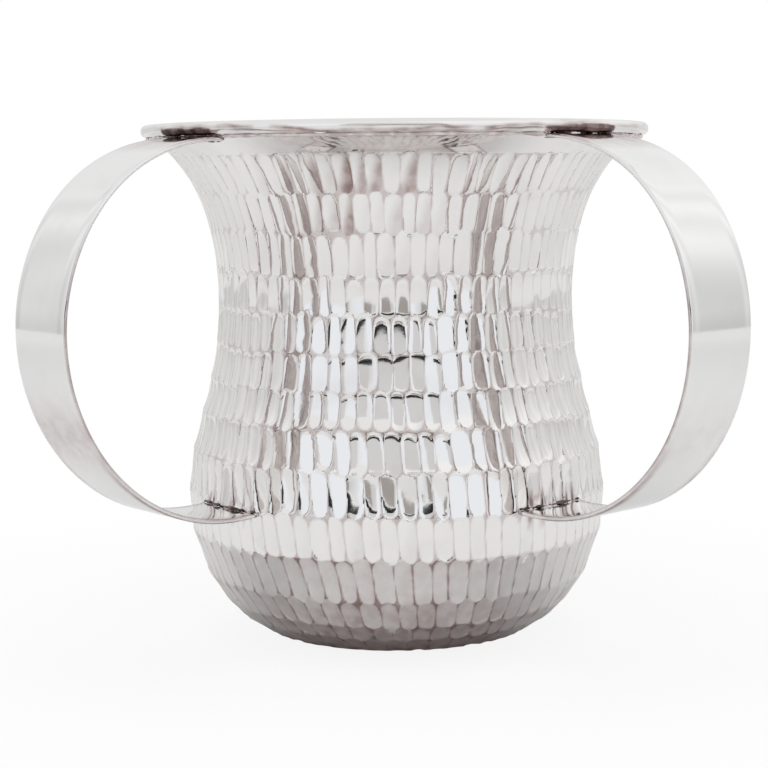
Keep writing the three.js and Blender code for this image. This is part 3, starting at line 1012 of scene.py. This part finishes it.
# Radius and height along the middle of the strap's outer face
def strapPath(handle):
    p = straps
    end = bowl["lipHeight"] - handle["endDrop"]
    upper = bowl["lipHeight"] - handle["upperDrop"]
    low = lowestHeight(handle)
    startR = bowl["lipRadius"] - p["upperEndDepth"]
    lowR = bowl["bellyRadius"] + p["lowestRunOut"]
    endR = bowl["bellyRadius"] - p["lowerEndDepth"]
    reach, mid = handle["reach"], p["reachHeight"]
    fromRim = [(startR, end), (startR + p["upperRun"], upper), (reach, mid + p["upperRise"]), (reach, mid)]
    toLowest = [(reach, mid), (reach, mid - p["lowerDrop"]), (lowR + p["lowerRun"], low), (lowR, low)]
    toBowl = [(lowR, low), ((lowR + endR) / 2, low), (endR, low + p["lowerEndRise"])]
    t = np.linspace(0, 1, p["pathSteps"])
    inside = np.linspace((startR - p["startInside"], end), (startR, end), p["startSteps"])
    return np.vstack([
        inside[:-1], bezier(fromRim, t), bezier(toLowest, t)[1:], bezier(toBowl, t[::p["endStride"]])[1:],
    ])


# A rounded bar's section: across in x, and from the outer face 0 to the inner face 1 thickness in y
def strapSection():
    half, thick, edge = straps["width"] / 2, straps["thickness"], straps["edge"]
    quarter = np.linspace(0, math.pi / 2, straps["cornerSteps"])
    flat = np.linspace(-1, 1, straps["flatSteps"])[1:-1] * (half - edge)
    right, left, outer, inner = half - edge, edge - half, edge, thick - edge
    corners = []
    for x, y, quarters in ((right, outer, -1), (right, inner, 0), (left, inner, 1), (left, outer, 2)):
        angles = quarter + quarters * math.pi / 2
        corners.append(np.stack([x + edge * np.cos(angles), y + edge * np.sin(angles)], -1))
    innerFace = np.stack([-flat, np.full(len(flat), thick)], -1)
    outerFace = np.stack([flat, np.zeros(len(flat))], -1)
    return np.vstack([corners[0], corners[1], innerFace, corners[2], corners[3], outerFace])


# Painted shade and reflection on a strap, the strongest of five: inner face, narrow sides, corners, bend,
# and end under the rim
def paintedStrapShade(handle, share, section, length):
    d = strapShading
    across = np.abs(section[:, 0])
    through = section[:, 1] / straps["thickness"]
    half = straps["width"] / 2
    fromMiddle = (2 * through - 1) ** 2
    outer = through < d["outerShare"]
    share = share[:, None]
    inside = clip01(2 * through - 1) * d["inside"]
    inside = inside * np.interp(share, d["insideStops"], d["insideLevels"])
    sides = clip01(1 - fromMiddle) * (across > half - d["sideDepth"]) * d["side"]
    sides = sides * np.interp(share, d["sideStops"], d["sideLevels"])
    corners = fromMiddle * (across > half - straps["edge"] - d["cornerSlack"]) * d["corner"]
    corners = corners * np.interp(share, d["cornerStops"], (0, 1))
    bend = handle["bendShade"] * hump(share - d["bendAt"], d["bendSpan"]) * outer
    end = d["end"] * clip01(d["endFull"] - share * length / d["endReach"]) * outer
    return np.maximum.reduce([inside, sides, corners, bend, end])


# Each line of the section starts and ends where it meets the bowl's skin plus the seat gap
def makeStrap(name, handle):
    path = strapPath(handle)
    length = lengthAlong(path)
    tangent = directions(path, length)
    inward = np.stack([tangent[:, 1], -tangent[:, 0]], -1)
    half = len(path) // 2
    if (path.mean(0) - path[half]) @ inward[half] < 0:
        inward = -inward
    section = strapSection()
    r = path[:, :1] + inward[:, :1] * section[None, :, 1]
    z = path[:, 1:] + inward[:, 1:] * section[None, :, 1]
    clear = np.hypot(r, section[None, :, 0]) - radiusAtHeight(z) - straps["seatGap"]
    share = np.linspace(0, 1, straps["steps"])
    share = share - straps["crowding"] * np.sin(turn * share) / turn
    lines = []
    for j, across in enumerate(section[:, 0]):
        gap = clear[:, j]
        first = np.max(np.nonzero(gap[:half] < 0)[0])
        last = half + np.min(np.nonzero(gap[half:] < 0)[0])
        startAt = np.interp(0, gap[first:first + 2], length[first:first + 2])
        endAt = np.interp(0, -gap[last - 1:last + 1], length[last - 1:last + 1])
        at = startAt + (endAt - startAt) * share
        line = [np.interp(at, length, r[:, j]), np.full(len(at), across), np.interp(at, length, z[:, j])]
        lines.append(np.stack(line, -1))
    points, faces = sweptFaces(atHandle(handle, np.stack(lines, 1)), False)
    dull = paintedStrapShade(handle, share, section, length[-1])
    meshPiece(name, points, faces, strapSilver, [name.replace("strap", "handle")], dull)


# Solder round a strap's end: a thin uneven bead that follows the joint's outline on the bowl's skin

solder = dict(
    upper=dict(bead=0.34, uneven=0.5, least=0.35, waves=(4, 60), seed=31, endShare=1),
    lower=dict(bead=0.18, uneven=0.95, least=0.15, waves=(4, 34), seed=32, endShare=0.15),
    most=2.1,  # the thickest place, in beads
    proud=1.15, belowShare=0.35, standOff=0.15, corner=0.5, endSpan=0.6,
    alongSteps=260, sectionSteps=12,
    rimBead=0.45, rimUneven=0.25, rimWaves=(20, 110), rimSeed=33, rimSteps=900, rimOut=0.15, rimDown=0.05,
    taper=60, taperLeast=0.1,  # how fast the rim's solder ends, and what is left there
    spill=0.5,  # past a strap's sides
)


# An outline of half width a and half height b with round corners, walked once: the corner's centre goes
# round (+-(a - c), +-(b - c)), and the point lies c from it at an angle that turns a quarter at each corner
def roundedOutline(halfWidth, halfHeight, corner, steps):
    flatX, flatY = halfWidth - corner, max(halfHeight - corner, 0)
    quarter = corner * math.pi / 2
    lengths = np.cumsum([0, 2 * flatX, quarter, 2 * flatY, quarter, 2 * flatX, quarter, 2 * flatY, quarter])
    t = np.linspace(0, lengths[-1], steps, endpoint=False)
    angle = np.interp(t, lengths, np.array([0, 0, 1, 1, 2, 2, 3, 3, 4]) * math.pi / 2)
    x = np.interp(t, lengths, np.array([-1, 1, 1, 1, 1, -1, -1, -1, -1]) * flatX)
    y = np.interp(t, lengths, np.array([1, 1, 1, -1, -1, -1, -1, 1, 1]) * flatY)
    return x + corner * np.sin(angle), y + corner * np.cos(angle)


# centre + size (cos(angle) proud out + sin(angle) side), with out square to the line and away from the bowl
def makeStrapSolder(name, handle, middleHeight, look, material):
    half = straps["width"] / 2
    across, up = roundedOutline(
        half + solder["standOff"],
        straps["thickness"] / 2 + solder["standOff"],
        solder["corner"],
        solder["alongSteps"],
    )
    height = middleHeight + up
    radius = radiusAtHeight(height)
    centre = np.stack([np.sqrt(radius ** 2 - across ** 2), across, height], -1)
    tangent = unitLength(np.roll(centre, -1, 0) - np.roll(centre, 1, 0))
    out = np.stack([centre[:, 0], across, 0 * across], -1)
    out = unitLength(out - (out * tangent).sum(1)[:, None] * tangent)
    side = np.cross(tangent, out)
    walked = roundAngles(len(across))
    size = look["bead"] * (1 + look["uneven"] * wander(walked, look["seed"], look["waves"]))
    size = np.clip(size, look["bead"] * look["least"], look["bead"] * solder["most"])
    size = size * (1 - (1 - look["endShare"]) * (np.abs(across) > half - solder["endSpan"]))
    size = (size * np.where(up > 0, 1, solder["belowShare"]))[:, None, None]
    angle = roundAngles(solder["sectionSteps"])[None, :, None]
    swept = np.cos(angle) * solder["proud"] * out[:, None] + np.sin(angle) * side[:, None]
    points, faces = sweptFaces(atHandle(handle, centre[:, None] + size * swept), True)
    meshPiece(name.replace("solder", "bead"), points, faces, material, [name])


# Solder under the rim, in an arc from one azimuth to another and tapering at its ends
def makeRimSolder(name, first, last, seed):
    share = np.linspace(0, 1, solder["rimSteps"])
    azimuth = np.radians(first + (last - first) * share)[:, None]
    taper = np.clip(np.minimum(share, 1 - share) * solder["taper"], solder["taperLeast"], 1)[:, None]
    size = solder["rimBead"] * taper * (1 + solder["rimUneven"] * wander(azimuth, seed, solder["rimWaves"]))
    angle = roundAngles(solder["sectionSteps"])[None, :]
    radius = bowl["lipRadius"] + solder["rimOut"] + size * np.cos(angle)
    height = bowl["lipHeight"] - solder["rimDown"] + size * np.sin(angle)
    points, faces = sweptFaces(aroundAxis(radius, azimuth, height) * mm, False)
    meshPiece(name.replace("solder", "bead"), points, faces, rimSolder, [name])


makeBowl()
makeRim()
print("rim made")
for side, handle in handles.items():
    makeStrap(side + "_strap", handle)
print("handles made")
for side, handle in handles.items():
    upperMiddle = bowl["lipHeight"] - handle["endDrop"] - straps["thickness"] / 2
    makeStrapSolder(side + "_upper_solder", handle, upperMiddle, solder["upper"], upperSolder)
    makeStrapSolder(side + "_lower_solder", handle, lowerJointHeight(handle), solder["lower"], lowerSolder)
halfStrap = math.degrees((straps["width"] / 2 + solder["spill"]) / bowl["lipRadius"])
nearEdge = straps["spread"] / 2 - halfStrap
farEdge = straps["spread"] - nearEdge
makeRimSolder("front_rim_solder", -nearEdge, nearEdge, solder["rimSeed"])
makeRimSolder("back_rim_solder", farEdge, 360 - farEdge, solder["rimSeed"] + 1)
print("solder made")
